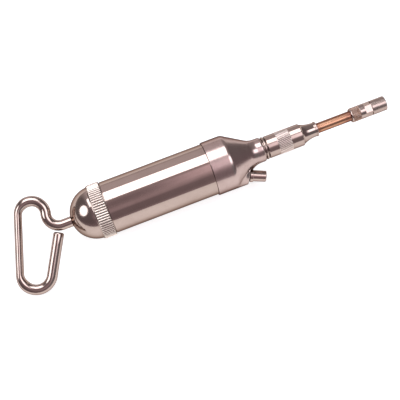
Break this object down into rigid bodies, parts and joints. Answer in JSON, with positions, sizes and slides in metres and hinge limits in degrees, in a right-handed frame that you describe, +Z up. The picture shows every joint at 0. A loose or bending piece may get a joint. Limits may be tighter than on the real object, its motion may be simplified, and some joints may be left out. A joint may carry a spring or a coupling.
{
  "type": "desoldering pump",
  "caption": "Metal hand suction pump for molten solder: polished barrel, domed knurled cap, bent-wire pull loop, cone head with side vent button, knurled clamping nut and copper nozzle tube.",
  "frame": {"origin": "bottom centre of the whole pump as it lies on a bench, handle pushed in", "axes": "+X along the barrel towards the nozzle, +Z up; the loop handle and the side button lean down to the bench on the -Y side"},
  "size_m": [0.2456, 0.0524, 0.0336],
  "materials": {
    "bright_steel": "polished, with faint lengthwise and round polishing lines",
    "knurled_cap": "polished dome, fine straight knurl",
    "satin_head": "satin, turned all over",
    "bent_rod": "polished plated round bar",
    "nickel_fittings": "polished nickel plate",
    "clamping_nut": "polished, with a matt fine diamond knurl",
    "copper_tube": "bright drawn copper, slightly heat-darkened at both ends",
    "bronze": "plain machined bronze",
    "brass_parts": "plain machined brass",
    "zinc_steel": "zinc-plated steel",
    "spring_steel": "bright spring steel",
    "piston_aluminium": "turned aluminium",
    "white_ptfe": "waxy white, heat-resistant",
    "black_rubber": "matt black rubber"
  },
  "bodies": {
    "pump": {"barrel_tube": "bright_steel", "cap_gasket": "black_rubber", "pump_head": "satin_head", "head_gasket": "black_rubber", "filter_screen": "zinc_steel", "filter_clip": "spring_steel", "buffer_ring": "black_rubber", "valve_clip": "zinc_steel", "valve_spring": "spring_steel", "valve_seat": "brass_parts", "neck_union": "nickel_fittings", "lock_ring": "nickel_fittings", "tube_o_ring": "black_rubber", "collet": "brass_parts", "nozzle_tube": "copper_tube", "tip_holder": "nickel_fittings", "vent_gasket": "black_rubber", "vent_collar": "nickel_fittings", "vent_spring": "spring_steel"},
    "cap": {"end_cap": "knurled_cap", "rod_wiper": "black_rubber", "rod_bush": "bronze", "bush_clip": "spring_steel", "spring_seat": "zinc_steel", "return_spring": "spring_steel"},
    "piston": {"piston_body": "piston_aluminium", "wear_ring": "white_ptfe", "cup_seal": "black_rubber", "piston_plate": "piston_aluminium", "piston_bush": "bronze"},
    "handle": {"handle_rod": "bent_rod", "thrust_washer": "zinc_steel", "rod_washer": "zinc_steel", "rod_nut": "zinc_steel"},
    "button": {"vent_button": "nickel_fittings", "vent_stem": "zinc_steel", "vent_seal": "black_rubber"},
    "ball": {"inlet_ball": "spring_steel"},
    "nut": {"nose_nut": "clamping_nut"},
    "tip": {"tip_sleeve": "nickel_fittings", "tip_insert": "white_ptfe", "tip_gasket": "black_rubber"}
  },
  "joints": [
    {"name": "handle_pull", "type": "slide", "parent": "pump", "child": "piston", "axis": [-1, 0, 0], "range_m": [0, 0.042], "stiffness_N_per_m": 150, "springref_m": -0.02, "deforming": ["return_spring"]},
    {"name": "handle_swivel", "type": "hinge", "parent": "piston", "child": "handle", "pos_m": [0.00819, 0.00496, 0.0168], "axis": [1, 0, 0], "continuous": true},
    {"name": "vent_press", "type": "slide", "parent": "pump", "child": "button", "axis": [-0.9191, 0.3541, 0.1726], "range_m": [0, 0.0012], "stiffness_N_per_m": 800, "springref_m": -0.001, "deforming": ["vent_spring"]},
    {"name": "inlet_lift", "type": "slide", "parent": "pump", "child": "ball", "axis": [-1, 0, 0], "range_m": [0, 0.0008], "stiffness_N_per_m": 60, "springref_m": -0.0012, "deforming": ["valve_spring"]},
    {"name": "nut_turn", "type": "hinge", "parent": "pump", "child": "nut", "pos_m": [0.00819, 0.00496, 0.0168], "axis": [1, 0, 0], "range_deg": [0, 540]},
    {"name": "cap_turn", "type": "hinge", "parent": "pump", "child": "cap", "pos_m": [0.00819, 0.00496, 0.0168], "axis": [-1, 0, 0], "range_deg": [0, 1080]},
    {"name": "sleeve_turn", "type": "hinge", "parent": "pump", "child": "tip", "pos_m": [0.00819, 0.00496, 0.0168], "axis": [1, 0, 0], "range_deg": [0, 1080]}
  ]
}
